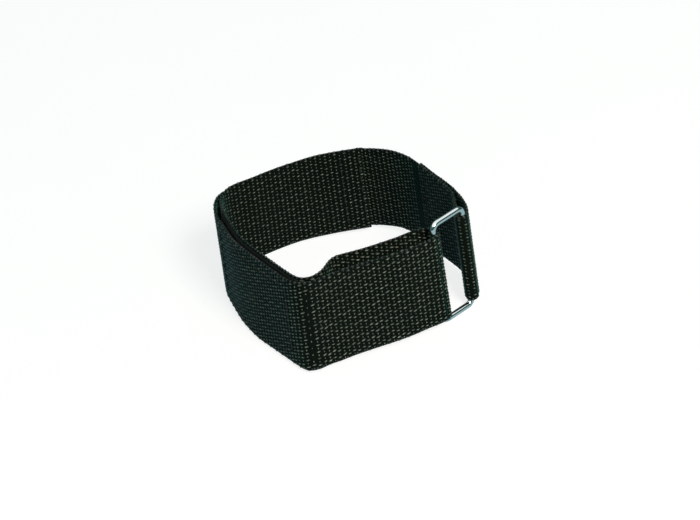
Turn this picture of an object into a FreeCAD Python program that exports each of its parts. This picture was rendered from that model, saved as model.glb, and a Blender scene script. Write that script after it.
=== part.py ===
"""Wrist strap of woven webbing with a wire ring and a hook and loop closure.

One long webbing is the band, goes through the ring and comes back outside as the tail.
A second webbing, the keeper, holds the other bar of the ring and is sewn to the band at the back.
Millimetres, Z up, origin at the middle of the footprint on the surface the strap stands on.
"""
import FreeCAD
import Part
import math
import os

V = FreeCAD.Vector

# Webbing
webbing_width = 25.0
webbing_thickness = 0.8

# Hook and loop closure
hook_thickness = 0.6
loop_thickness = 0.5
closure_gap = 0.2
tail_end_gap = 0.25
tape_inset = 0.5
tape_seat = 0.02

# Wire ring, a rounded rectangle standing upright
wire_diameter = 1.6
ring_pitch = 10.6
ring_bend_radius = 1.8
lower_edge_clearance = 0.45
upper_edge_clearance = 1.4
ring_angle = 40.0
tail_bar_x = 22.1
tail_bar_y = -19.1
tail_wrap_gap = 0.4
keeper_wrap_gap = 0.15

# Seams
layer_gap = 0.1
lap_length = 7.0
keeper_return_length = 25.5
keeper_return_taper = 7.0
keeper_seam_length = 21.5
thread_diameter = 0.35
stitch_length = 2.2
stitch_pitch = 3.0
seam_margin = 2.0
thread_seat = 0.05

# Places along the band, measured from its sewn end at the back
loop_tape_start = 51.5
loop_tape_end = 93.5
hook_tape_start = 53.5
hook_tape_end = 91.5
tail_end_station = 39.0

# Route of the band's middle surface seen from above, from the sewn end round the left to the ring
band_route = [
    (7.7, 30.5), (2.6, 30.7), (-3.0, 30.7), (-8.5, 30.0), (-14.0, 28.6), (-19.0, 26.7),
    (-23.7, 24.6), (-27.9, 22.5), (-30.4, 18.9), (-30.9, 14.0), (-30.1, 8.7), (-28.7, 3.2),
    (-27.1, -2.7), (-25.0, -8.0), (-22.6, -13.0), (-20.0, -17.8), (-17.4, -22.4), (-15.3, -25.9),
    (-13.5, -28.3), (-11.6, -29.4), (-9.4, -29.2), (-7.6, -28.0), (-6.0, -25.8), (-4.6, -23.3),
    (-3.0, -21.9), (-0.7, -21.3), (4.0, -20.4), (8.7, -19.0), (13.6, -17.3), (17.2, -16.1),
]
turn_route = [(20.4, -15.75), (22.35, -16.3), (23.45, -17.6)]
tail_front_route = [
    (18.6, -22.65), (15.6, -23.9), (11.6, -25.3), (6.6, -26.5), (1.6, -27.7), (-2.4, -28.85),
    (-5.8, -30.1),
]

# Route of the keeper's inner layer from the lap at the back to the ring
keeper_route = [
    (12.3, 28.8), (15.1, 26.7), (17.6, 24.1), (19.7, 21.1), (21.4, 17.8), (22.9, 14.5),
    (24.3, 11.3), (25.7, 8.4), (27.1, 5.4), (28.4, 2.5), (29.2, -0.1), (29.4, -2.9), (29.3, -6.4),
]

# Angles about each bar at which its webbing turns, and where tail and band come together
tail_wrap_angles = (10, 345, 322, 300)
keeper_wrap_angles = (180, 215, 250, 285, 320, 355)
closure_corner = (-8.6, -28.8)
route_spacing = 2.0
straight_limit = 0.0005

half = webbing_thickness / 2
tail_wrap = wire_diameter / 2 + tail_wrap_gap + half
keeper_wrap = wire_diameter / 2 + keeper_wrap_gap + half
thread_face = half + thread_diameter / 2 + thread_seat
closure_offset = webbing_thickness + loop_thickness + closure_gap + hook_thickness + 2 * tape_seat
tail_end_offset = webbing_thickness + tail_end_gap
layer_offset = webbing_thickness + layer_gap
tail_bar = V(tail_bar_x, tail_bar_y, 0)
along_ring = V(math.cos(math.radians(ring_angle)), math.sin(math.radians(ring_angle)), 0)
keeper_bar = tail_bar + along_ring * ring_pitch


class Path:
    """A smooth route on the ground plane, followed by parameter or by length."""

    def __init__(self, points):
        self.curve = Part.BSplineCurve()
        self.curve.interpolate([V(p[0], p[1], 0) for p in points])
        self.first = self.curve.FirstParameter
        self.last = self.curve.LastParameter
        self.knots = self.curve.getKnots()

    def at_length(self, distance):
        return self.curve.parameterAtDistance(distance, self.first)

    def nearest(self, point):
        return self.curve.parameter(point)

    def length(self, start, end):
        return self.curve.length(start, end)

    def tangent(self, u):
        return self.curve.tangent(u)[0]

    def beside(self, u, distance):
        """Point at a distance to the right of the route."""
        direction = self.tangent(u)
        return self.curve.value(u) + V(direction.y, -direction.x, 0) * distance

    def stations(self, start, end):
        """The route's own points between two parameters, and both ends."""
        margin = (self.last - self.first) * 0.002
        return [start] + [u for u in self.knots if start + margin < u < end - margin] + [end]

    def side(self, start, end, distance):
        """Arcs beside the route, one for each span between its points."""
        stations = self.stations(start, end)
        return [
            bend(*[self.beside(u, distance) for u in (a, (a + b) / 2, b)])
            for a, b in zip(stations[:-1], stations[1:])
        ]

    def ribbon(self, start, end, inner, outer, inset=0.0):
        """A strip that follows the route between two distances beside it, standing on edge."""
        sides = self.side(start, end, inner) + self.side(start, end, outer)
        closing = [
            Part.LineSegment(self.beside(u, inner), self.beside(u, outer)).toShape()
            for u in (start, end)
        ]
        outline = Part.Wire(Part.__sortEdges__(sides + closing))
        tall = Part.Face(outline).extrude(V(0, 0, webbing_width * 2))
        return tall.common(level_slab(inset))


def bend(start, middle, end):
    """An arc through three points, or a straight line where they are in line."""
    if middle.distanceToLine(start, end - start) < straight_limit:
        return Part.LineSegment(start, end).toShape()
    return Part.Arc(start, middle, end).toShape()


def edge_height(x):
    """Height of the webbing's lower edge, which rises from the left to clear the ring's wire."""
    rise = (wire_diameter + lower_edge_clearance) / (tail_bar_x - left_foot_x)
    return rise * (x - left_foot_x)


def level_slab(inset):
    """The space between the webbing's lower and upper edges, or a little inside them."""
    reach = 4 * webbing_width
    low = [V(x, -reach, edge_height(x) + inset) for x in (left_foot_x, reach)]
    high = [p + V(0, 0, webbing_width - 2 * inset) for p in reversed(low)]
    outline = Part.makePolygon(low + high + [low[0]])
    return Part.Face(outline).extrude(V(0, 2 * reach, 0))


def arc_points(centre, radius, angles):
    return [
        (centre.x + radius * math.cos(math.radians(a)), centre.y + radius * math.sin(math.radians(a)))
        for a in angles
    ]


def offset_points(path, start_length, end_length, offset_at):
    """Points beside a path at even lengths, each as far away as its length says."""
    reach = end_length - start_length
    spans = max(2, round(abs(reach) / route_spacing))
    lengths = [start_length + reach * k / spans for k in range(spans + 1)]
    return [tuple(path.beside(path.at_length(n), offset_at(n)))[:2] for n in lengths]


def thread(start, end):
    """One stitch, a short round thread between two points."""
    run = end - start
    return Part.makeCylinder(thread_diameter / 2, run.Length, start, run)


def seam_across(path, length, face, inset=seam_margin):
    """A row of stitches up the width of the webbing, at a distance beside its middle."""
    place = path.beside(path.at_length(length), face)
    count = int((webbing_width - 2 * inset - stitch_length) / stitch_pitch) + 1
    first = (webbing_width - (count - 1) * stitch_pitch - stitch_length) / 2
    row = []
    for k in range(count):
        low = place + V(0, 0, edge_height(place.x) + first + k * stitch_pitch)
        row.append(thread(low, low + V(0, 0, stitch_length)))
    return row


def seam_along(path, start, end, face, height):
    """A row of stitches along the webbing at a height above its lower edge."""
    count = int((end - start - stitch_length) / stitch_pitch) + 1
    first = start + (end - start - (count - 1) * stitch_pitch - stitch_length) / 2
    row = []
    for k in range(count):
        ends = []
        for reach in (0, stitch_length):
            point = path.beside(path.at_length(first + k * stitch_pitch + reach), face)
            ends.append(point + V(0, 0, edge_height(point.x) + height))
        row.append(thread(*ends))
    return row


def tape_seams(path, start, end, face):
    """The stitching round a tape: two rows along it and one across each end."""
    height = tape_inset + seam_margin
    rows = seam_along(path, start + seam_margin, end - seam_margin, face, height)
    rows += seam_along(path, start + seam_margin, end - seam_margin, face, webbing_width - height)
    for length in (start + seam_margin / 2, end - seam_margin / 2):
        rows += seam_across(path, length, face, height + thread_diameter)
    return rows


def wire_ring():
    """A rounded rectangle of round wire, standing on its lower bar."""
    low = wire_diameter / 2
    high = edge_height(keeper_bar.x) + webbing_width + upper_edge_clearance + low
    r = ring_bend_radius
    lean = r * (1 - math.sqrt(0.5))

    def spot(along, z):
        return tail_bar + along_ring * along + V(0, 0, z)

    w = ring_pitch
    sides = [
        (spot(r, low), spot(w - r, low), spot(w - lean, low + lean), spot(w, low + r)),
        (spot(w, low + r), spot(w, high - r), spot(w - lean, high - lean), spot(w - r, high)),
        (spot(w - r, high), spot(r, high), spot(lean, high - lean), spot(0, high - r)),
        (spot(0, high - r), spot(0, low + r), spot(lean, low + lean), spot(r, low)),
    ]
    edges = []
    for start, end, middle, bend_end in sides:
        edges.append(Part.LineSegment(start, end).toShape())
        edges.append(Part.Arc(end, middle, bend_end).toShape())
    profile = Part.Wire(Part.Circle(spot(w / 2, low), along_ring, wire_diameter / 2).toShape())
    start = [Part.LineSegment(spot(w / 2, low), spot(w - r, low)).toShape()]
    finish = [Part.LineSegment(spot(r, low), spot(w / 2, low)).toShape()]
    return Part.Wire(start + edges[1:] + finish).makePipeShell([profile], True, False)


def tail_offset(length):
    """How far outside the band the tail lies, which closes onto the band past the tapes."""
    tapes_end = min(loop_tape_start, hook_tape_start)
    free = max(0.0, tapes_end - length) / max(route_spacing, tapes_end - tail_end_station)
    return closure_offset + free * (tail_end_offset - closure_offset)


band_only = Path(band_route)
closure_start = band_only.nearest(V(*closure_corner, 0))
outermost = half + closure_offset
left_foot_x = min(
    band_only.beside(band_only.at_length(length), outermost).x
    for length in range(int(tail_end_station), int(hook_tape_end))
)

# The whole webbing: band, turn round the ring's bar, tail outside the band
corner_length = band_only.length(band_only.first, closure_start)
tail_side_route = offset_points(band_only, corner_length, tail_end_station, tail_offset)
bar_route = arc_points(tail_bar, tail_wrap, tail_wrap_angles)
webbing = Path(band_route + turn_route + bar_route + tail_front_route + tail_side_route)
turn_start = webbing.nearest(V(*band_route[-1], 0))
turn_end = webbing.nearest(V(*bar_route[-1], 0))

# The keeper: lapped outside the band at the back, round the ring's other bar and back on itself
lap_route = offset_points(band_only, lap_length, 0.0, lambda length: layer_offset)
keeper_inner = Path(lap_route + keeper_route)
keeper_arc = arc_points(keeper_bar, keeper_wrap, keeper_wrap_angles)
inner_length = keeper_inner.length(keeper_inner.first, keeper_inner.last)
return_route = offset_points(
    keeper_inner, inner_length - keeper_return_taper, inner_length - keeper_return_length,
    lambda length: -layer_offset
)
keeper = Path(lap_route + keeper_route + keeper_arc + return_route)


def tail_station(length):
    """The place on the tail that lies over a place on the band, given by its length."""
    return webbing.nearest(band_only.beside(band_only.at_length(length), closure_offset))


nodes = {}
nodes["band_webbing"] = webbing.ribbon(webbing.first, turn_start, -half, half)
nodes["ring_turn_webbing"] = webbing.ribbon(turn_start, turn_end, -half, half)
nodes["tail_webbing"] = webbing.ribbon(turn_end, webbing.last, -half, half)
nodes["keeper_webbing"] = keeper.ribbon(keeper.first, keeper.last, -half, half)
nodes["wire_ring"] = wire_ring()

tape_face = half + tape_seat
nodes["loop_tape"] = webbing.ribbon(
    webbing.at_length(loop_tape_start), webbing.at_length(loop_tape_end),
    tape_face, tape_face + loop_thickness, tape_inset
)
nodes["hook_tape"] = webbing.ribbon(
    tail_station(hook_tape_end), tail_station(hook_tape_start),
    tape_face, tape_face + hook_thickness, tape_inset
)
nodes["loop_tape_stitching"] = Part.Compound(
    tape_seams(webbing, loop_tape_start, loop_tape_end, -thread_face)
)
nodes["hook_tape_stitching"] = Part.Compound(tape_seams(
    webbing,
    webbing.length(webbing.first, tail_station(hook_tape_end)),
    webbing.length(webbing.first, tail_station(hook_tape_start)),
    -thread_face,
))
lap_stitches = []
for length in (seam_margin / 2, lap_length - seam_margin / 2):
    lap_stitches += seam_across(webbing, length, -thread_face)
    lap_stitches += seam_across(keeper_inner, lap_length - length, -thread_face)
nodes["lap_stitching"] = Part.Compound(lap_stitches)
keeper_stitches = []
for length in (keeper_seam_length, keeper_seam_length + seam_margin):
    keeper_stitches += seam_across(keeper_inner, inner_length - length, thread_face)
    keeper_stitches += seam_across(keeper_inner, inner_length - length, -layer_offset - thread_face)
nodes["keeper_stitching"] = Part.Compound(keeper_stitches)

os.makedirs("parts", exist_ok=True)
for name, shape in nodes.items():
    shape.exportStep("parts/%s.step" % name)
    print(name, len(shape.Solids), "solids", round(shape.Volume, 1), "mm3", shape.isValid())
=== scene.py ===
"""Looks of a woven wrist strap with a wire ring and a hook and loop closure.

Sizes are in millimetres and become metres where a mesh is made. The webbing's routes are the
ones that its solids follow, so every piece lies where its node lies.
"""
import math
import bpy
import numpy as np
from mathutils import Matrix, Vector


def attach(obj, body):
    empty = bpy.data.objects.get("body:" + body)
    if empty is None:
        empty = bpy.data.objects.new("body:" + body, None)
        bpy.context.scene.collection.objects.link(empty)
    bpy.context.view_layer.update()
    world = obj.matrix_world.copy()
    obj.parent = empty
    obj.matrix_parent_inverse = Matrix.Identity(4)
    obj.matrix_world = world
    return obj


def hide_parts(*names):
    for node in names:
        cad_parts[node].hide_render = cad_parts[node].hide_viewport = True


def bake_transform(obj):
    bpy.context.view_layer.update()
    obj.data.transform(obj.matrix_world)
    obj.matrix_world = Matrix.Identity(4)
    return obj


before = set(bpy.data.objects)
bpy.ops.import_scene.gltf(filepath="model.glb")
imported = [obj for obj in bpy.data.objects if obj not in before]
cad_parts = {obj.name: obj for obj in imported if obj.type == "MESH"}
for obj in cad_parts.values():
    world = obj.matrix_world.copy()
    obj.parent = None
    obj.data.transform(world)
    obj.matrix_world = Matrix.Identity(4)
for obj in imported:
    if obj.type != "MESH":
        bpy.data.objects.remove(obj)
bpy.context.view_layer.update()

MM = 0.001
Z_UP = np.array([0.0, 0.0, 1.0])

# Webbing
webbing_width = 25.0
webbing_thickness = 0.8
half = webbing_thickness / 2

# Hook and loop closure
hook_thickness = 0.6
loop_thickness = 0.5
tape_backing = 0.22
closure_gap = 0.2
tail_end_gap = 0.25
tape_inset = 0.5
tape_seat = 0.02
closure_offset = webbing_thickness + loop_thickness + closure_gap + hook_thickness + 2 * tape_seat
tail_end_offset = webbing_thickness + tail_end_gap

# Wire ring
wire_diameter = 1.6
ring_pitch = 10.6
ring_bend_radius = 1.8
lower_edge_clearance = 0.45
upper_edge_clearance = 1.4
ring_angle = 40.0
tail_bar = np.array([22.1, -19.1])
along_ring = np.array([math.cos(math.radians(ring_angle)), math.sin(math.radians(ring_angle))])
keeper_bar = tail_bar + along_ring * ring_pitch
tail_wrap_gap = 0.4
keeper_wrap_gap = 0.15
tail_wrap = wire_diameter / 2 + tail_wrap_gap + half
keeper_wrap = wire_diameter / 2 + keeper_wrap_gap + half
tail_wrap_angles = (10, 345, 322, 300)
keeper_wrap_angles = (180, 215, 250, 285, 320, 355)

# Seams
layer_gap = 0.1
layer_offset = webbing_thickness + layer_gap
lap_length = 7.0
keeper_return_length = 25.5
keeper_return_taper = 7.0
keeper_seam_length = 21.5
thread_diameter = 0.35
stitch_length = 2.2
stitch_pitch = 3.0
seam_margin = 2.0

# Places along the band, measured from its sewn end at the back
loop_tape_start = 51.5
loop_tape_end = 93.5
hook_tape_start = 53.5
hook_tape_end = 91.5
tail_end_station = 39.0
route_spacing = 2.0
closure_corner = (-8.6, -28.8)

band_route = [
    (7.7, 30.5), (2.6, 30.7), (-3.0, 30.7), (-8.5, 30.0), (-14.0, 28.6), (-19.0, 26.7),
    (-23.7, 24.6), (-27.9, 22.5), (-30.4, 18.9), (-30.9, 14.0), (-30.1, 8.7), (-28.7, 3.2),
    (-27.1, -2.7), (-25.0, -8.0), (-22.6, -13.0), (-20.0, -17.8), (-17.4, -22.4), (-15.3, -25.9),
    (-13.5, -28.3), (-11.6, -29.4), (-9.4, -29.2), (-7.6, -28.0), (-6.0, -25.8), (-4.6, -23.3),
    (-3.0, -21.9), (-0.7, -21.3), (4.0, -20.4), (8.7, -19.0), (13.6, -17.3), (17.2, -16.1),
]
turn_route = [(20.4, -15.75), (22.35, -16.3), (23.45, -17.6)]
tail_front_route = [
    (18.6, -22.65), (15.6, -23.9), (11.6, -25.3), (6.6, -26.5), (1.6, -27.7), (-2.4, -28.85),
    (-5.8, -30.1),
]
keeper_route = [
    (12.3, 28.8), (15.1, 26.7), (17.6, 24.1), (19.7, 21.1), (21.4, 17.8), (22.9, 14.5),
    (24.3, 11.3), (25.7, 8.4), (27.1, 5.4), (28.4, 2.5), (29.2, -0.1), (29.4, -2.9), (29.3, -6.4),
]

# How far the lower edge stands outside the upper one, by the bearing in degrees from the middle
loop_middle = np.array([-0.4, 2.0])
leans = [
    (0, 0.5), (10, 0.3), (30, -0.2), (44, -0.2), (60, 0.4), (70, 0.1), (98, 0.0), (112, 1.0),
    (132, 1.0), (144, 0.3), (156, 0.3), (190, 0.7), (215, 1.6), (256, 1.7), (284, 1.0),
    (306, 0.2), (318, 0.9), (335, 0.5), (360, 0.5),
]


# Routes

class Route:
    """A smooth line on the ground plane through chosen points, followed by its length.

    Along it the cloth may sink (drop), lose height at its upper edge (trim), move to the right
    (shift) or stand out at its foot (splay). Each is a list of lengths and the amounts there.
    """

    step = 0.05

    def __init__(self, points):
        p = np.array(points, float)
        knots = np.r_[0.0, np.cumsum(np.linalg.norm(np.diff(p, axis=0), axis=1))]
        bends = self.second_derivatives(knots, p)
        t = np.arange(0.0, knots[-1], self.step)
        k = np.clip(np.searchsorted(knots, t, side="right") - 1, 0, len(p) - 2)
        h = (knots[k + 1] - knots[k])[:, None]
        a = (knots[k + 1][:, None] - t[:, None]) / h
        b = 1 - a
        curve = (a ** 3 - a) * bends[k] + (b ** 3 - b) * bends[k + 1]
        self.points = a * p[k] + b * p[k + 1] + curve * h ** 2 / 6
        runs = np.linalg.norm(np.diff(self.points, axis=0), axis=1)
        self.lengths = np.r_[0.0, np.cumsum(runs)]
        self.length = self.lengths[-1]
        slope = np.gradient(self.points, self.lengths, axis=0)
        self.tangents = slope / np.linalg.norm(slope, axis=1)[:, None]
        self.drop = self.trim = self.shift = self.splay = [(0.0, 0.0)]

    @staticmethod
    def second_derivatives(knots, p):
        """The cubic spline's bending at each point, with none at the two ends."""
        n = len(p)
        gaps = np.diff(knots)
        system = np.eye(n)
        right = np.zeros((n, 2))
        for i in range(1, n - 1):
            system[i, i - 1:i + 2] = gaps[i - 1], 2 * (gaps[i - 1] + gaps[i]), gaps[i]
            rise = (p[i + 1] - p[i]) / gaps[i] - (p[i] - p[i - 1]) / gaps[i - 1]
            right[i] = 6 * rise
        return np.linalg.solve(system, right)

    def read(self, table, lengths):
        return np.stack([np.interp(lengths, self.lengths, table[:, c]) for c in (0, 1)], -1)

    def tangent(self, lengths):
        found = self.read(self.tangents, lengths)
        return found / np.linalg.norm(found, axis=-1, keepdims=True)

    def right(self, lengths):
        """The direction to the right of the route."""
        t = self.tangent(lengths)
        return np.stack([t[..., 1], -t[..., 0]], -1)

    def beside(self, lengths, distance):
        away = np.asarray(distance, float)
        away = away[..., None] if away.ndim else away
        return self.read(self.points, lengths) + self.right(lengths) * away

    def nearest(self, point):
        gaps = np.linalg.norm(self.points - np.array(point), axis=1)
        return self.lengths[gaps.argmin()]


def arc_points(centre, radius, angles):
    turns = np.radians(angles)
    return [tuple(centre + radius * np.array([math.cos(a), math.sin(a)])) for a in turns]


def offset_points(route, start, end, offset_at):
    """Points beside a route at even lengths, each as far away as its length says."""
    spans = max(2, round(abs(end - start) / route_spacing))
    lengths = np.linspace(start, end, spans + 1)
    return [tuple(p) for p in route.beside(lengths, offset_at(lengths))]


def tail_offset(lengths):
    """How far outside the band the tail lies, which closes onto the band past the tapes."""
    tapes_end = min(loop_tape_start, hook_tape_start)
    free = np.maximum(0.0, tapes_end - lengths) / max(route_spacing, tapes_end - tail_end_station)
    return closure_offset + free * (tail_end_offset - closure_offset)


band_only = Route(band_route)
corner_length = band_only.nearest(closure_corner)
closure_stations = np.arange(int(tail_end_station), int(hook_tape_end))
left_foot_x = band_only.beside(closure_stations, half + closure_offset)[:, 0].min()
bar_route = arc_points(tail_bar, tail_wrap, tail_wrap_angles)
tail_side_route = offset_points(band_only, corner_length, tail_end_station, tail_offset)
webbing = Route(band_route + turn_route + bar_route + tail_front_route + tail_side_route)
turn_start = webbing.nearest(band_route[-1])
turn_end = webbing.nearest(bar_route[-1])

lap_route = offset_points(band_only, lap_length, 0.0, lambda lengths: layer_offset)
keeper_inner = Route(lap_route + keeper_route)
keeper_arc = arc_points(keeper_bar, keeper_wrap, keeper_wrap_angles)
return_route = offset_points(
    keeper_inner, keeper_inner.length - keeper_return_taper,
    keeper_inner.length - keeper_return_length, lambda lengths: -layer_offset,
)
keeper = Route(lap_route + keeper_route + keeper_arc + return_route)


def edge_height(x):
    """Height of the webbing's lower edge, which rises from the left to clear the ring's wire."""
    return (wire_diameter + lower_edge_clearance) / (tail_bar[0] - left_foot_x) * (x - left_foot_x)


def tail_station(length):
    """The length on the webbing's tail that lies over a length on the band."""
    point = band_only.beside(np.array(length), closure_offset)
    tail_part = webbing.lengths > turn_end
    gaps = np.linalg.norm(webbing.points - point, axis=1)
    return webbing.lengths[tail_part][gaps[tail_part].argmin()]


def amount_at(pairs, places):
    """The amount at each place, read between pairs of a place and the amount there."""
    return np.interp(places, *zip(*pairs))


def on_route(route, lengths, distance, height):
    """Points beside a route at heights above the webbing's lower edge, in three dimensions.

    The webbing leans as a cloth loop does, mostly with its lower edge further out than its
    upper one.
    """
    lengths, distance, height = np.broadcast_arrays(lengths, distance, height)
    plan = route.beside(lengths, distance + amount_at(route.shift, lengths))
    up = height / webbing_width
    z = edge_height(plan[..., 0]) + height - amount_at(route.drop, lengths)
    z -= amount_at(route.trim, lengths) * up
    outward = plan - loop_middle
    bearing = np.degrees(np.arctan2(outward[..., 1], outward[..., 0])) % 360
    outward /= np.linalg.norm(outward, axis=-1, keepdims=True)
    lean = amount_at(leans, bearing) * (0.5 - up)
    lean += amount_at(route.splay, lengths) * (1 - up)
    return np.concatenate([plan + outward * lean[..., None], z[..., None]], -1)


# Node trees and materials

def fill(tree, socket, value):
    """Gives a socket its value, or links it to the one that has the value."""
    if isinstance(value, Value):
        value = value.socket
    if isinstance(value, bpy.types.NodeSocket):
        tree.links.new(value, socket)
    else:
        socket.default_value = value


def add_node(tree, kind, settings=None, inputs=None):
    """One node, with its settings first and then values or links for its sockets."""
    made = tree.nodes.new(kind)
    for name, value in (settings or {}).items():
        setattr(made, name, value)
    for name, value in (inputs or {}).items():
        fill(tree, made.inputs[name], value)
    return made


def mix_colours(tree, share, first, second):
    """A colour between two others, which is the second where the share is 1."""
    made = add_node(tree, "ShaderNodeMix", {"data_type": "RGBA"})
    sockets = [socket for socket in made.inputs if socket.enabled]
    for socket, value in zip(sockets, (share, first, second)):
        fill(tree, socket, value)
    return [socket for socket in made.outputs if socket.enabled][0]


class Value:
    """A number in a shader that Python's operators work on by adding Math nodes."""

    def __init__(self, tree, socket):
        self.tree = tree
        self.socket = socket

    def math(self, operation, *numbers):
        made = add_node(self.tree, "ShaderNodeMath", {"operation": operation})
        for socket, number in zip(made.inputs, numbers):
            fill(self.tree, socket, number)
        return Value(self.tree, made.outputs[0])

    def __add__(self, other):
        return self.math("ADD", self, other)

    def __sub__(self, other):
        return self.math("SUBTRACT", self, other)

    def __rsub__(self, other):
        return self.math("SUBTRACT", other, self)

    def __mul__(self, other):
        return self.math("MULTIPLY", self, other)

    __radd__ = __add__
    __rmul__ = __mul__

    def sin(self):
        return self.math("SINE", self)

    def absolute(self):
        return self.math("ABSOLUTE", self)

    def clamp(self):
        """The number, held between 0 and 1."""
        return self.math("MINIMUM", self.math("MAXIMUM", self, 0.0), 1.0)


class Finish:
    """A material with one principled shader, and the textures that its parts share."""

    def __init__(self, name, **constants):
        self.material = bpy.data.materials.new(name)
        self.material.use_nodes = True
        self.tree = self.material.node_tree
        self.shader = self.tree.nodes["Principled BSDF"]
        for socket, value in constants.items():
            self.shader.inputs[socket.replace("_", " ")].default_value = value

    def node(self, kind, settings=None, inputs=None):
        return add_node(self.tree, kind, settings, inputs)

    def value(self, socket):
        return Value(self.tree, socket)

    def place(self):
        return self.node("ShaderNodeTexCoord").outputs["Object"]

    def parts(self, vector):
        """The three numbers of a vector."""
        split = self.node("ShaderNodeSeparateXYZ", inputs={"Vector": vector})
        return [self.value(split.outputs[c]) for c in ("X", "Y", "Z")]

    def cloth(self):
        """Length along the webbing and height across it, in millimetres."""
        uv = self.node("ShaderNodeUVMap", {"uv_map": "cloth"}).outputs["UV"]
        return [part * (1 / MM) for part in self.parts(uv)[:2]]

    def yarn(self):
        """The place on a yarn's own shape: along it, across it and outwards, from -1 to 1."""
        found = self.node("ShaderNodeAttribute", {"attribute_name": "yarn"}).outputs["Vector"]
        return self.parts(found)

    def noise(self, size, stretch=(1, 1, 1)):
        """Noise whose features are about a size in millimetres."""
        placed = self.node("ShaderNodeMapping", inputs={"Vector": self.place(), "Scale": stretch})
        made = self.node("ShaderNodeTexNoise", inputs={
            "Vector": placed.outputs[0], "Scale": 1 / (size * MM), "Detail": 2.0,
        })
        return self.value(made.outputs["Fac"])

    def mix(self, share, first, second):
        return mix_colours(self.tree, share, first, second)

    def feed(self, name, value):
        fill(self.tree, self.shader.inputs[name], value)

    def bump(self, height, depth):
        """Relief from a height between 0 and 1, with its depth in millimetres."""
        made = self.node("ShaderNodeBump", inputs={"Height": height, "Distance": depth * MM})
        self.feed("Normal", made.outputs["Normal"])


def colour(red, green, blue):
    """A display colour from 0 to 255 as the light it stands for."""
    parts = [c / 255 for c in (red, green, blue)]
    return tuple(
        c / 12.92 if c <= 0.04045 else ((c + 0.055) / 1.055) ** 2.4 for c in parts
    ) + (1.0,)


# The weave repeats by cells along the webbing and by rows across it
cell_length = 1.32
weave_rows = 13
row_pitch = webbing_width / weave_rows

flank_colour = colour(8, 15, 9)
gap_colour = colour(3, 9, 5)
weave_colour = colour(9, 17, 10)
sheen_colour = colour(30, 150, 140)


def yarn_finish(name, painted_glint_dim, painted_glint_bright):
    """Dark filament yarn, a little glossy, with a painted highlight that makes its crowns pale."""
    patch_size, fibre_size, relief_depth = 0.9, 0.05, 0.012
    glint_start, glint_sharpness, ply_count = 0.7, 7.0, 9.0
    f = Finish(name, Roughness=0.28, Specular_IOR_Level=0.9, Sheen_Weight=0.08,
               Sheen_Roughness=0.3, Sheen_Tint=sheen_colour)
    along, across, out = f.yarn()
    # The crowns carry a painted highlight, dim or bright by patches, on the part of the yarn that
    # stands out most; the flanks keep the yarn's own dark colour.
    patches = f.noise(patch_size)
    crown = f.mix((patches * 3.0 - 1.0).clamp(), painted_glint_dim, painted_glint_bright)
    raised = ((out - glint_start) * glint_sharpness).clamp()
    f.feed("Base Color", f.mix(raised, flank_colour, crown))
    plies = ((across * 2.2 + along * 1.1) * ply_count).sin()
    fibres = f.noise(fibre_size)
    f.feed("Roughness", 0.22 + fibres * 0.14)
    f.bump(plies * 0.5 + fibres * 0.5, relief_depth)
    return f.material


def ground_finish():
    """The cloth between the floats: crossing yarns seen in the gaps."""
    fibre_size, relief_depth = 0.12, 0.12
    f = Finish("webbing_ground", Roughness=0.8, Specular_IOR_Level=0.1, Sheen_Weight=0.62,
               Sheen_Roughness=0.3, Sheen_Tint=sheen_colour)
    length, height = f.cloth()
    warp = (height * (2 * math.pi / row_pitch)).sin()
    weft = (length * (math.pi / cell_length)).sin()
    relief = warp * weft
    fibres = f.noise(fibre_size)
    raised = (relief.absolute() * 0.7 + fibres * 0.4).clamp()
    f.feed("Base Color", f.mix(raised, gap_colour, weave_colour))
    f.feed("Roughness", 0.65 + fibres * 0.25)
    f.bump(relief * 0.5 + fibres * 0.3, relief_depth)
    return f.material


def thread_finish():
    """Sewing thread with slanting plies."""
    ply_count, relief_depth = 30.0, 0.03
    f = Finish("sewing_thread", Roughness=0.5, Specular_IOR_Level=0.4)
    along, across = f.yarn()[:2]
    plies = ((along + across * 0.25) * ply_count).sin()
    # Darker in the grooves between plies and lighter on their crowns, following the relief: painted
    # shade and painted highlight.
    f.feed("Base Color", f.mix(plies * 0.5 + 0.5, colour(14, 19, 16), colour(34, 39, 34)))
    f.bump(plies, relief_depth)
    return f.material


def loop_tape_finish():
    """Soft dark pile."""
    fibre_size, relief_depth = 0.2, 0.05
    f = Finish("loop_pile", Roughness=0.8, Specular_IOR_Level=0.3)
    fibres = f.noise(fibre_size)
    f.feed("Base Color", f.mix(fibres, colour(10, 12, 11), colour(30, 32, 31)))
    f.bump(fibres, relief_depth)
    return f.material


def hook_tape_finish():
    """Moulded dark nylon."""
    grain_size, pit_size, relief_depth = 0.4, 0.15, 0.01
    f = Finish("hook_nylon", Roughness=0.45, Specular_IOR_Level=0.5)
    grain = f.noise(grain_size)
    f.feed("Base Color", f.mix(grain, colour(13, 15, 14), colour(26, 28, 27)))
    f.feed("Roughness", 0.38 + grain * 0.2)
    f.bump(f.noise(pit_size), relief_depth)
    return f.material


# A small brownish spot on the ring's upper bend, fading out over its radius.
brown_spot_past_bar = 1.0
brown_spot_height = 28.4
brown_spot_radius = 0.45
brown_spot_place = tuple(np.array([*(tail_bar + along_ring * brown_spot_past_bar), brown_spot_height]) * MM)


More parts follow.
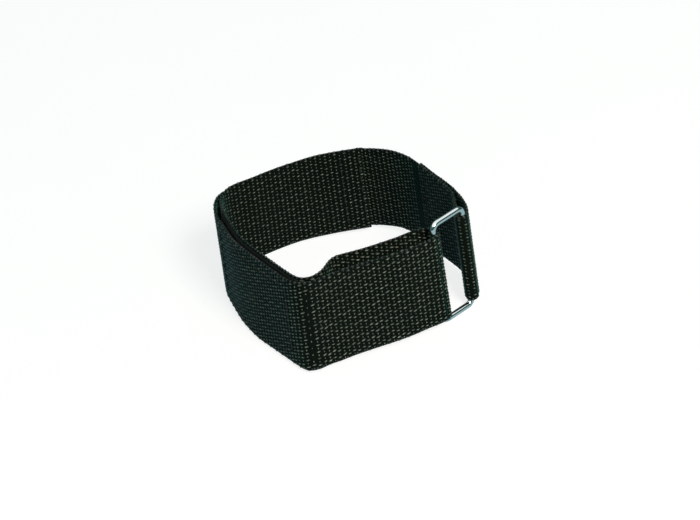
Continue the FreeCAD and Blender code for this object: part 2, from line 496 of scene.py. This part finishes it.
def wire_finish():
    """Bright plated wire with faint drawing marks and one small brownish spot near its upper bend.
    """
    mark_size, relief_depth = 0.3, 0.002
    f = Finish("bright_wire", Metallic=1.0, Roughness=0.08)
    marks = f.noise(mark_size, stretch=(1, 1, 0.2))
    spot = f.node("ShaderNodeVectorMath", {"operation": "DISTANCE"}, {0: f.place(), 1: brown_spot_place})
    brown_share = (1.6 - f.value(spot.outputs["Value"]) * (1 / (brown_spot_radius * MM))).clamp()
    plated = f.mix(marks, colour(226, 232, 233), colour(245, 247, 246))
    f.feed("Base Color", f.mix(brown_share, plated, colour(150, 84, 66)))
    f.feed("Roughness", 0.05 + marks * 0.07)
    f.bump(marks, relief_depth)
    return f.material


# The last two colours of each yarn are the dim and bright painted highlight on its crowns.
yarn_material = yarn_finish("webbing_yarn", colour(106, 118, 90), colour(204, 214, 184))
edge_material = yarn_finish("selvedge_yarn", colour(12, 18, 13), colour(22, 29, 22))
ground_material = ground_finish()
thread_material = thread_finish()
loop_material = loop_tape_finish()
hook_material = hook_tape_finish()
wire_material = wire_finish()


# Meshes

def make_piece(name, vertices, faces, material, smooth=True, uv=None):
    """A mesh piece with its vertices given in millimetres."""
    mesh = bpy.data.meshes.new(name)
    mesh.from_pydata([tuple(v) for v in np.asarray(vertices) * MM], [], faces)
    mesh.materials.append(material)
    if smooth:
        mesh.shade_smooth()
    if uv is not None:
        layer = mesh.uv_layers.new(name="cloth")
        loops = np.zeros(len(mesh.loops), np.int32)
        mesh.loops.foreach_get("vertex_index", loops)
        layer.data.foreach_set("uv", (np.asarray(uv)[loops] * MM).astype(np.float32).ravel())
    piece = bpy.data.objects.new(name, mesh)
    bpy.context.scene.collection.objects.link(piece)
    return piece


def sweep(count, around):
    """Faces that join closed rings of points one after the other, with a cap at each end."""
    faces = []
    for low in range(0, (count - 1) * around, around):
        high = low + around
        for j in range(around):
            k = (j + 1) % around
            faces.append((low + j, low + k, high + k, high + j))
    faces.append(tuple(reversed(range(around))))
    faces.append(tuple((count - 1) * around + j for j in range(around)))
    return faces


def section(width, thickness):
    """The outline of a flat strip with round edges: heights and distances from its middle."""
    spacing, corner_spans = 1.0, 3
    radius = thickness / 2
    turn = np.linspace(-math.pi / 2, 0, corner_spans + 1)[:-1]
    low = [(radius + radius * math.sin(a), radius * math.cos(a)) for a in turn]
    middle = np.linspace(radius, width - radius, max(2, int(width / spacing)))
    one = low + [(h, radius) for h in middle] + [(width - h, d) for h, d in reversed(low)]
    other = [(h, -d) for h, d in reversed(one[1:-1])]
    return np.array(one + other)


def ribbon(name, route, start, end, middle, thickness, material, inset=0.0):
    """A strip of cloth or tape that stands on edge along a route."""
    spacing = 0.6
    outline = section(webbing_width - 2 * inset, thickness)
    lengths = np.linspace(start, end, max(3, int(round((end - start) / spacing)) + 1))[:, None]
    heights = inset + outline[:, 0]
    points = on_route(route, lengths, middle + outline[:, 1], heights)
    uv = np.stack(np.broadcast_arrays(lengths, heights), -1)
    faces = sweep(len(lengths), len(outline))
    return make_piece(name, points.reshape(-1, 3), faces, material, uv=uv.reshape(-1, 2))


# Small shapes set along the cloth by geometry nodes

def scatter_tree(name, shape):
    """A tree that sets one shape on every point, turned by the point's own directions."""
    tree = bpy.data.node_groups.new(name, "GeometryNodeTree")

    def socket(label, kind, value=None, way="INPUT"):
        made = tree.interface.new_socket(name=label, in_out=way, socket_type=kind)
        if value is not None:
            made.default_value = value

    socket("Points", "NodeSocketGeometry")
    socket("Size jitter", "NodeSocketFloat", 0.1)
    socket("Turn jitter", "NodeSocketFloat", 0.1)
    socket("Seed", "NodeSocketInt", 1)
    socket("Material", "NodeSocketMaterial")
    socket("Pieces", "NodeSocketGeometry", way="OUTPUT")

    def node(kind, settings=None, inputs=None):
        return add_node(tree, kind, settings, inputs)

    def point_vector(label):
        made = node(
            "GeometryNodeInputNamedAttribute", {"data_type": "FLOAT_VECTOR"}, {"Name": label},
        )
        return made.outputs["Attribute"]

    given = node("NodeGroupInput")
    turn = node("FunctionNodeAxesToRotation", {"primary_axis": "Z", "secondary_axis": "X"}, {
        "Primary Axis": point_vector("out"), "Secondary Axis": point_vector("along"),
    })
    size_jitter = Value(tree, given.outputs["Size jitter"])
    turn_jitter = Value(tree, given.outputs["Turn jitter"])

    def chance(low, high):
        made = node("FunctionNodeRandomValue", {"data_type": "FLOAT"}, {
            2: low, 3: high, "Seed": given.outputs["Seed"],
        })
        return made.outputs[1]

    factor = chance(1 - size_jitter, size_jitter + 1)
    swing = chance(turn_jitter * -1, turn_jitter)
    spin = node("FunctionNodeAxisAngleToRotation", inputs={
        "Axis": (0.0, 0.0, 1.0), "Angle": swing,
    })
    turned = node("FunctionNodeRotateRotation", {"rotation_space": "LOCAL"}, {
        "Rotation": turn.outputs[0], "Rotate By": spin.outputs[0],
    })
    scale = node("ShaderNodeVectorMath", {"operation": "SCALE"}, {
        0: point_vector("size"), "Scale": factor,
    })
    cloud = node("GeometryNodeMeshToPoints", inputs={"Mesh": given.outputs["Points"]})
    kept = node("GeometryNodeStoreNamedAttribute", {"data_type": "FLOAT_VECTOR"}, {
        "Geometry": shape(node), "Name": "yarn",
        "Value": node("GeometryNodeInputPosition").outputs[0],
    })
    placed = node("GeometryNodeInstanceOnPoints", inputs={
        "Points": cloud.outputs[0], "Instance": kept.outputs[0],
        "Rotation": turned.outputs[0], "Scale": scale.outputs[0],
    })
    real = node("GeometryNodeRealizeInstances", inputs={"Geometry": placed.outputs[0]})
    smooth = node("GeometryNodeSetShadeSmooth", inputs={"Geometry": real.outputs[0]})
    finished = node("GeometryNodeSetMaterial", inputs={
        "Geometry": smooth.outputs[0], "Material": given.outputs["Material"],
    })
    node("NodeGroupOutput", inputs={"Pieces": finished.outputs[0]})
    return tree


def spindle(segments, rings):
    """A round yarn crown of unit size, with its poles along the yarn."""
    def shape(node):
        ball = node("GeometryNodeMeshUVSphere", inputs={
            "Segments": segments, "Rings": rings, "Radius": 1.0,
        })
        lying = node("GeometryNodeTransform", inputs={
            "Geometry": ball.outputs["Mesh"], "Rotation": (0.0, math.pi / 2, 0.0),
        })
        return lying.outputs[0]
    return shape


def bent_wire(start_angle, sweep_angle, wire_radius, spans, sides):
    """A piece of round wire bent to an arc of unit radius that stands up from its base.

    The angles are in degrees.
    """
    def shape(node):
        arc = node("GeometryNodeCurveArc", inputs={
            "Resolution": spans + 1, "Radius": 1.0, "Start Angle": math.radians(start_angle),
            "Sweep Angle": math.radians(sweep_angle),
        })
        profile = node("GeometryNodeCurvePrimitiveCircle", inputs={
            "Resolution": sides, "Radius": wire_radius,
        })
        solid = node("GeometryNodeCurveToMesh", inputs={
            "Curve": arc.outputs[0], "Profile Curve": profile.outputs[0], "Fill Caps": True,
        })
        upright = node("GeometryNodeTransform", inputs={
            "Geometry": solid.outputs[0], "Rotation": (math.pi / 2, 0.0, 0.0),
        })
        return upright.outputs[0]
    return shape


float_tree = scatter_tree("warp floats", spindle(segments=6, rings=5))
short_float_tree = scatter_tree("weft floats", spindle(segments=6, rings=4))
stitch_tree = scatter_tree("stitches", spindle(segments=8, rings=8))
loop_wire = bent_wire(start_angle=0, sweep_angle=180, wire_radius=0.16, spans=5, sides=4)
loop_tree = scatter_tree("loop pile", loop_wire)
hook_wire = bent_wire(start_angle=-35, sweep_angle=215, wire_radius=0.2, spans=6, sides=5)
hook_tree = scatter_tree("moulded hooks", hook_wire)


def scatter(name, tree, points, along, out, size, material, seed,
            size_jitter=0.15, turn_jitter=0.14):
    """Sets a tree's shape on points in millimetres and returns it as one plain mesh."""
    seat = make_piece(name + "_seat", points, [], material, smooth=False)
    for label, vectors in (("along", along), ("out", out), ("size", np.asarray(size) * MM)):
        kept = seat.data.attributes.new(label, "FLOAT_VECTOR", "POINT")
        spread = np.broadcast_to(vectors, (len(points), 3)).astype(np.float32)
        kept.data.foreach_set("vector", spread.ravel())
    modifier = seat.modifiers.new(name, "NODES")
    modifier.node_group = tree
    given = {
        "Size jitter": size_jitter, "Turn jitter": turn_jitter, "Seed": seed, "Material": material,
    }
    for item in tree.interface.items_tree:
        if item.item_type == "SOCKET" and item.in_out == "INPUT" and item.name in given:
            modifier[item.identifier] = given[item.name]
    view = bpy.context.evaluated_depsgraph_get()
    mesh = bpy.data.meshes.new_from_object(seat.evaluated_get(view))
    mesh.name = name
    seat.modifiers.remove(modifier)
    bpy.data.objects.remove(seat)
    piece = bpy.data.objects.new(name, mesh)
    bpy.context.scene.collection.objects.link(piece)
    return piece


def as_three(plan):
    """Directions on the ground plane, in three dimensions."""
    return np.concatenate([plan, np.zeros(plan.shape[:-1] + (1,))], -1)


# The yarns' half lengths, widths and heights, and their places in a row of the weave
warp_size = (0.60, 0.22, 0.17)
weft_size = (0.27, 0.23, 0.17)
selvedge_size = (0.42, 0.40, 0.42)
inside_share = np.array([0.8, 0.82, 0.95])
warp_place = 0.75
weft_place = 0.25
warp_slant = 0.2
zigzag = 0.22
bare_top = 0.3
ground_thickness = 0.56
lower_selvedge_height = 0.46
upper_selvedge_height = webbing_width - 0.28


def face(side, covered=(), creased=(), share=1.0):
    """One face of the webbing, 1 to the right of its route and -1 to the left.

    Covered stretches have no floats, and creases no warp floats. Each has its first and last
    length and its lowest and highest height. The share is that of the floats' sizes.
    """
    return side, list(covered), list(creased), share


def weave(route, start, end, faces):
    """Places, directions and sizes of the warp and weft floats on the faces."""
    cells = np.arange(math.floor(start / cell_length), math.floor(end / cell_length) + 1)
    i, j = np.meshgrid(cells, np.arange(weave_rows))
    kinds = {"warp": [], "weft": []}
    for side, covered, creased, share in faces:
        for kind, place, size, hidden in (
            ("warp", warp_place, warp_size, covered + creased),
            ("weft", weft_place, weft_size, covered),
        ):
            lengths = (i + 0.5) * cell_length
            heights = (j + place) * row_pitch + np.where(i % 2 == 0, zigzag, -zigzag)
            keep = (lengths > start) & (lengths < end) & (heights < webbing_width - bare_top)
            for low, high, bottom, top in hidden:
                keep &= (lengths < low) | (lengths > high) | (heights < bottom) | (heights > top)
            lengths, heights = lengths[keep], heights[keep]
            points = on_route(route, lengths, side * ground_thickness / 2, heights)
            if kind == "warp":
                along = as_three(route.tangent(lengths)) - Z_UP * warp_slant
            else:
                along = np.broadcast_to(Z_UP, points.shape)
            out = as_three(route.right(lengths) * side)
            sizes = np.broadcast_to(np.array(size) * share, points.shape)
            kinds[kind].append((points, along, out, sizes))
    return {kind: [np.concatenate(part) for part in zip(*found)] for kind, found in kinds.items()}


def selvedges(route, start, end):
    """Places and directions of the weft turns on the two edges of the webbing."""
    cells = np.arange(math.ceil(start / cell_length), math.floor(end / cell_length) + 1)
    points, along, out = [], [], []
    for height, up in ((lower_selvedge_height, -1.0), (upper_selvedge_height, 1.0)):
        lengths = cells * cell_length + (0.0 if up < 0 else cell_length / 2)
        lengths = lengths[(lengths > start) & (lengths < end)]
        points.append(on_route(route, lengths, 0.0, height))
        along.append(as_three(route.tangent(lengths)))
        out.append(np.broadcast_to(Z_UP * up, (len(lengths), 3)))
    return [np.concatenate(part) for part in (points, along, out)]


def woven(name, route, start, end, faces, seed):
    """One stretch of webbing: its ground cloth, the floats on its faces and its selvedges."""
    ground = ribbon(name + "_ground", route, start, end, 0.0, ground_thickness, ground_material)
    floats = weave(route, start, end, faces)
    warp = scatter(name + "_warp_floats", float_tree, *floats["warp"], yarn_material, seed)
    weft = scatter(
        name + "_weft_floats", short_float_tree, *floats["weft"], yarn_material, seed + 1,
    )
    edge = scatter(
        name + "_selvedges", short_float_tree, *selvedges(route, start, end), selvedge_size,
        edge_material, seed + 2,
    )
    return [ground, warp, weft, edge]


def full_height(start, end):
    """A stretch of a face, over the whole width of the webbing."""
    return start, end, 0.0, webbing_width


# The tail's cut end narrows, and the fold at the front left corner stands out at its foot
hook_from, hook_to = tail_station(hook_tape_end), tail_station(hook_tape_start)
cut_end_length = 10
webbing.trim = [(webbing.length - cut_end_length, 0.0), (webbing.length, 0.8)]
band_fold = [
    (74.0, 0.0), (82.0, -0.35), (88.0, -0.5), (92.0, -0.3), (94.5, 0.7), (97.5, -0.2), (101.0, 0.0),
]
tail_fold = [(tail_station(length), splay) for length, splay in reversed(band_fold)]
webbing.splay = band_fold + tail_fold
crease_past_corner, crease_bottom, crease_top = 4.5, 3.0, 22.5
crease_length = tail_station(corner_length) + crease_past_corner
front_crease = (
    crease_length - cell_length / 2, crease_length + cell_length / 2, crease_bottom, crease_top,
)

# The keeper sinks at the lap and stands out past it, and the end of its return narrows
return_start = keeper.nearest(return_route[0])
keeper.drop = [(lap_length, 0.45), (lap_length + 6, 0.0)]
keeper.trim = [(return_start, 0.0), (return_start + 8, 0.2), (keeper.length, 0.5)]
keeper.shift = [(lap_length - 0.4, 0.1), (lap_length + 1.4, 0.8), (lap_length + 8, 0.0)]
keeper.splay = [
    (0.0, 0.5), (lap_length, 1.2), (lap_length + 2, 1.5), (lap_length + 7, 1.0), (22.0, 0.7),
    (34.0, 0.0),
]
return_end = keeper_inner.length - keeper_return_length
seam_dent = full_height(return_end - 1.9, return_end + 0.3)

band_pieces = woven(
    "band", webbing, 0.0, turn_start,
    [
        face(1, [full_height(0.0, lap_length), full_height(loop_tape_start, loop_tape_end)]),
        face(-1, share=inside_share),
    ],
    11,
)
turn_pieces = woven("ring_turn", webbing, turn_start, turn_end, [face(1), face(-1)], 21)
tail_pieces = woven(
    "tail", webbing, turn_end, webbing.length,
    [
        face(-1, creased=[front_crease]),
        face(1, [full_height(hook_from, hook_to)], share=inside_share),
    ],
    31,
)
keeper_pieces = woven(
    "keeper", keeper, 0.0, keeper.length,
    [
        face(1, [full_height(0.0, lap_length), seam_dent], share=inside_share),
        face(-1, [
            full_height(return_end, keeper_inner.length - keeper_return_taper),
            full_height(return_start, keeper.length),
        ]),
    ],
    41,
)

for piece in band_pieces + keeper_pieces:
    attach(piece, "band")
for piece in tail_pieces:
    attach(piece, "tail")
blend_start = Vector((*(webbing.beside(np.array(turn_start), 0.0) * MM), 0.0))
blend_end = Vector((*(webbing.beside(np.array(turn_end), 0.0) * MM), 0.0))
for piece in turn_pieces:
    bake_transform(piece)
for pieces, node in (
    (band_pieces, "band_webbing"), (turn_pieces, "ring_turn_webbing"),
    (tail_pieces, "tail_webbing"), (keeper_pieces, "keeper_webbing"),
):
    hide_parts(node)
    for piece in pieces:
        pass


# Hook and loop tapes

def tape_grid(start, end, pitch_along, pitch_up, seed):
    """Even places on a tape, each moved a little."""
    place_jitter = 0.25
    spare = np.random.default_rng(seed)
    lengths = np.arange(start + pitch_along, end - pitch_along / 2, pitch_along)
    heights = np.arange(tape_inset + pitch_up, webbing_width - tape_inset - pitch_up / 2, pitch_up)
    i, j = np.meshgrid(lengths, heights)
    i = i + spare.uniform(-place_jitter, place_jitter, i.shape) * pitch_along
    j = j + spare.uniform(-place_jitter, place_jitter, j.shape) * pitch_up
    return i.ravel(), j.ravel()


def tape_cover(name, tree, start, end, distance, pitch, size, material, seed, turn_jitter):
    """Hooks or loops all over a tape."""
    lengths, heights = tape_grid(start, end, *pitch, seed)
    points = on_route(webbing, lengths, distance, heights)
    out = as_three(webbing.right(lengths))
    along = as_three(webbing.tangent(lengths))
    return scatter(
        name, tree, points, along, out, size, material, seed, turn_jitter=turn_jitter,
    )


def tape_backing_strip(name, start, end, material):
    middle = half + tape_seat + tape_backing / 2
    return ribbon(name, webbing, start, end, middle, tape_backing, material, tape_inset)


tape_face = half + tape_seat + tape_backing
loop_pitch = (0.62, 0.62)
loop_size = (0.26, 0.26, 0.24)
hook_pitch = (1.1, 1.3)
hook_size = (0.2, 0.2, 0.2)
hook_lift = 0.1
loop_backing = tape_backing_strip(
    "loop_tape_backing", loop_tape_start, loop_tape_end, loop_material,
)
loop_pile = tape_cover(
    "loop_tape_pile", loop_tree, loop_tape_start, loop_tape_end, tape_face, loop_pitch, loop_size,
    loop_material, 51, math.pi,
)
hook_backing = tape_backing_strip("hook_tape_backing", hook_from, hook_to, hook_material)
hooks = tape_cover(
    "hook_tape_hooks", hook_tree, hook_from, hook_to, tape_face + hook_lift, hook_pitch, hook_size,
    hook_material, 61, 0.2,
)
for piece in (loop_backing, loop_pile):
    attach(piece, "band")
for piece in (hook_backing, hooks):
    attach(piece, "tail")
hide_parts("loop_tape")
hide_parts("hook_tape")


# Stitching

thread_lift = 0.02
thread_seat = half + thread_lift
thread_flatness = 1.2
stitch_size = (stitch_length / 2, thread_diameter / 2, thread_diameter / 2 * thread_flatness)


def row_up(route, length, distance, inset=seam_margin):
    """Middles and directions of a row of stitches up the width of the webbing."""
    count = int((webbing_width - 2 * inset - stitch_length) / stitch_pitch) + 1
    first = (webbing_width - (count - 1) * stitch_pitch - stitch_length) / 2
    heights = first + np.arange(count) * stitch_pitch + stitch_length / 2
    lengths = np.full(count, length)
    points = on_route(route, lengths, distance, heights)
    out = as_three(route.right(lengths) * np.sign(distance))
    return points, np.broadcast_to(Z_UP, points.shape), out


def row_along(route, start, end, distance, height):
    """Middles and directions of a row of stitches along the webbing."""
    count = int((end - start - stitch_length) / stitch_pitch) + 1
    first = start + (end - start - (count - 1) * stitch_pitch - stitch_length) / 2
    lengths = first + np.arange(count) * stitch_pitch + stitch_length / 2
    points = on_route(route, lengths, distance, height)
    out = as_three(route.right(lengths) * np.sign(distance))
    return points, as_three(route.tangent(lengths)), out


def tape_rows(start, end):
    """Four rows round a tape, on the other face of the webbing."""
    height = tape_inset + seam_margin
    first, last = start + seam_margin, end - seam_margin
    return [
        row_along(webbing, first, last, -thread_seat, height),
        row_along(webbing, first, last, -thread_seat, webbing_width - height),
        row_up(webbing, start + seam_margin / 2, -thread_seat, height + thread_diameter),
        row_up(webbing, end - seam_margin / 2, -thread_seat, height + thread_diameter),
    ]


def stitching(name, rows, body, seed):
    """One seam's stitches, which replace the seam's solids."""
    points, along, out = [np.concatenate(part) for part in zip(*rows)]
    piece = scatter(
        name, stitch_tree, points, along, out, stitch_size, thread_material, seed,
        size_jitter=0.05, turn_jitter=0.05,
    )
    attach(piece, body)
    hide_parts(name.replace("_thread", "_stitching"))


stitching("loop_tape_thread", tape_rows(loop_tape_start, loop_tape_end), "band", 71)
stitching("hook_tape_thread", tape_rows(hook_from, hook_to), "tail", 72)
lap_rows = []
for length in (seam_margin / 2, lap_length - seam_margin / 2):
    lap_rows.append(row_up(webbing, length, -thread_seat))
    lap_rows.append(row_up(keeper_inner, lap_length - length, -thread_seat))
stitching("lap_thread", lap_rows, "band", 73)
keeper_rows = []
for length in (keeper_seam_length, keeper_seam_length + seam_margin):
    for distance in (thread_seat, -layer_offset - thread_seat):
        keeper_rows.append(row_up(keeper_inner, keeper_inner.length - length, distance))
stitching("keeper_thread", keeper_rows, "band", 74)


# Wire ring

def wire_ring():
    """A rounded rectangle of round wire, standing on its lower bar."""
    bend_points, spacing, around = 13, 0.8, 28
    low = wire_diameter / 2
    high = edge_height(keeper_bar[0]) + webbing_width + upper_edge_clearance + low
    r = ring_bend_radius
    bends = (
        (ring_pitch - r, low + r, -90), (ring_pitch - r, high - r, 0),
        (r, high - r, 90), (r, low + r, 180),
    )
    path = []
    for centre_along, centre_up, first in bends:
        for turn in np.radians(np.linspace(first, first + 90, bend_points)):
            path.append((centre_along + r * math.cos(turn), centre_up + r * math.sin(turn)))
    path = np.array(path)
    dense = []
    for a, b in zip(path, np.roll(path, -1, axis=0)):
        spans = max(1, int(np.linalg.norm(b - a) / spacing))
        dense += [a + (b - a) * k / spans for k in range(spans)]
    dense = np.array(dense)
    ahead = np.roll(dense, -1, axis=0) - np.roll(dense, 1, axis=0)
    ahead /= np.linalg.norm(ahead, axis=1)[:, None]
    side = np.stack([ahead[:, 1], -ahead[:, 0]], -1)
    ring_across = np.array([-along_ring[1], along_ring[0], 0.0])
    vertices = []
    for place, outward in zip(dense, side):
        centre = np.array([*(tail_bar + along_ring * place[0]), place[1]])
        out = np.array([*(along_ring * outward[0]), outward[1]])
        for a in np.arange(around) * (2 * math.pi / around):
            radial = out * math.cos(a) + ring_across * math.sin(a)
            vertices.append(centre + radial * wire_diameter / 2)
    count = len(dense)
    faces = [
        (i * around + j, i * around + (j + 1) % around,
         (i + 1) % count * around + (j + 1) % around, (i + 1) % count * around + j)
        for i in range(count) for j in range(around)
    ]
    piece = make_piece("plated_ring", vertices, faces, wire_material)
    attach(piece, "ring")
    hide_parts("wire_ring")


wire_ring()


# Floor, light and camera

def grey(level):
    """A linear grey."""
    return level, level, level, 1.0


def white_floor():
    """A floor that the camera sees white, and gloss sees dark and cool, as in the photograph."""
    seen = grey(0.82)
    mirrored = (0.12, 0.24, 0.29, 1.0)
    reach = 3000.0
    f = Finish("white_floor", Roughness=0.9, Specular_IOR_Level=0.1)
    f.feed("Base Color", f.mix(f.noise(40.0), colour(134, 134, 134), colour(138, 138, 138)))
    path = f.node("ShaderNodeLightPath").outputs
    to_camera = f.mix(f.value(path["Is Camera Ray"]), grey(0.0), seen)
    f.shader.inputs["Emission Strength"].default_value = 1.0
    f.feed("Emission Color", f.mix(f.value(path["Is Glossy Ray"]), to_camera, mirrored))
    corners = [(-reach, -reach, 0), (reach, -reach, 0), (reach, reach, 0), (-reach, reach, 0)]
    floor = make_piece("floor", corners, [(0, 1, 2, 3)], f.material, smooth=False)


def world_light(strength, tint):
    """An even cool room. The camera sees it white; gloss sees a white ceiling over dim walls."""
    ceiling_start, ceiling_sharpness, ceiling_light, wall_light = 0.55, 8.0, 0.9, 0.06
    world = bpy.data.worlds.new("studio")
    world.use_nodes = True
    bpy.context.scene.world = world
    tree = world.node_tree
    background = tree.nodes["Background"]
    path = add_node(tree, "ShaderNodeLightPath").outputs
    camera, glossy = Value(tree, path["Is Camera Ray"]), Value(tree, path["Is Glossy Ray"])
    toward = add_node(tree, "ShaderNodeTexCoord").outputs["Generated"]
    split = add_node(tree, "ShaderNodeSeparateXYZ", inputs={"Vector": toward})
    up = Value(tree, split.outputs["Z"])
    ceiling = ((up - ceiling_start) * ceiling_sharpness).clamp()
    reflected = ceiling * ceiling_light + wall_light
    light = (1 - glossy) * strength + glossy * reflected
    fill(tree, background.inputs["Strength"], (1 - camera) * light + camera)
    plain = (camera + glossy * ceiling).clamp()
    fill(tree, background.inputs["Color"], mix_colours(tree, plain, tint, grey(1.0)))


def softbox(name, azimuth, elevation, distance, size, level, tint):
    """A square lamp aimed at the strap. Level is the light that it alone gives a facing surface."""
    aim = Vector((0.0, 0.0, 0.012))
    a, e = math.radians(azimuth), math.radians(elevation)
    back = Vector((math.sin(a) * math.cos(e), -math.cos(a) * math.cos(e), math.sin(e)))
    lamp = bpy.data.lights.new(name, "AREA")
    lamp.shape = "SQUARE"
    lamp.color = tint
    lamp.size = size
    lamp.energy = level * math.pi * math.pi * distance ** 2
    made = bpy.data.objects.new(name, lamp)
    made.location = back * distance + aim
    made.rotation_mode = "QUATERNION"
    made.rotation_quaternion = (-back).to_track_quat("-Z", "Y")
    bpy.context.scene.collection.objects.link(made)


def photo_camera():
    """The camera of the photograph: its height, tilt and distance fitted to the strap's edges."""
    elevation = math.radians(32.0)
    roll = math.radians(8.2)
    distance = 700.0
    focal_pixels = 2708.0
    photo_width = 700.0
    aim = np.array([-0.5, -2.9, 12.5])
    pixels_right, pixels_up = 4.0, 2.0
    back = np.array([0.0, -math.cos(elevation), math.sin(elevation)])
    right = np.array([1.0, 0.0, 0.0])
    down = np.cross(-back, right)
    image_right = right * math.cos(roll) + down * math.sin(roll)
    image_down = down * math.cos(roll) - right * math.sin(roll)
    pixel = distance / focal_pixels
    moved = (image_right * pixels_right - image_down * pixels_up) * pixel
    place = aim + back * distance + moved
    camera = bpy.data.cameras.new("camera")
    camera.sensor_width = 36.0
    camera.lens = focal_pixels / photo_width * camera.sensor_width
    camera.clip_start = 0.01
    made = bpy.data.objects.new("camera", camera)
    turn = Matrix([image_right, -image_down, back]).transposed().to_4x4()
    made.matrix_world = Matrix.Translation(Vector(place * MM)) @ turn
    bpy.context.scene.collection.objects.link(made)
    bpy.context.scene.camera = made


white_floor()
world_light(strength=0.16, tint=(0.4, 1.0, 0.88, 1.0))
softbox(
    "key", azimuth=26.0, elevation=42.0, distance=1.3, size=0.4, level=0.98,
    tint=(1.0, 0.98, 0.88),
)
softbox(
    "fill", azimuth=-62.0, elevation=35.0, distance=1.6, size=0.9, level=0.02,
    tint=(0.45, 1.0, 0.85),
)
photo_camera()
bpy.context.scene.view_settings.view_transform = "Standard"
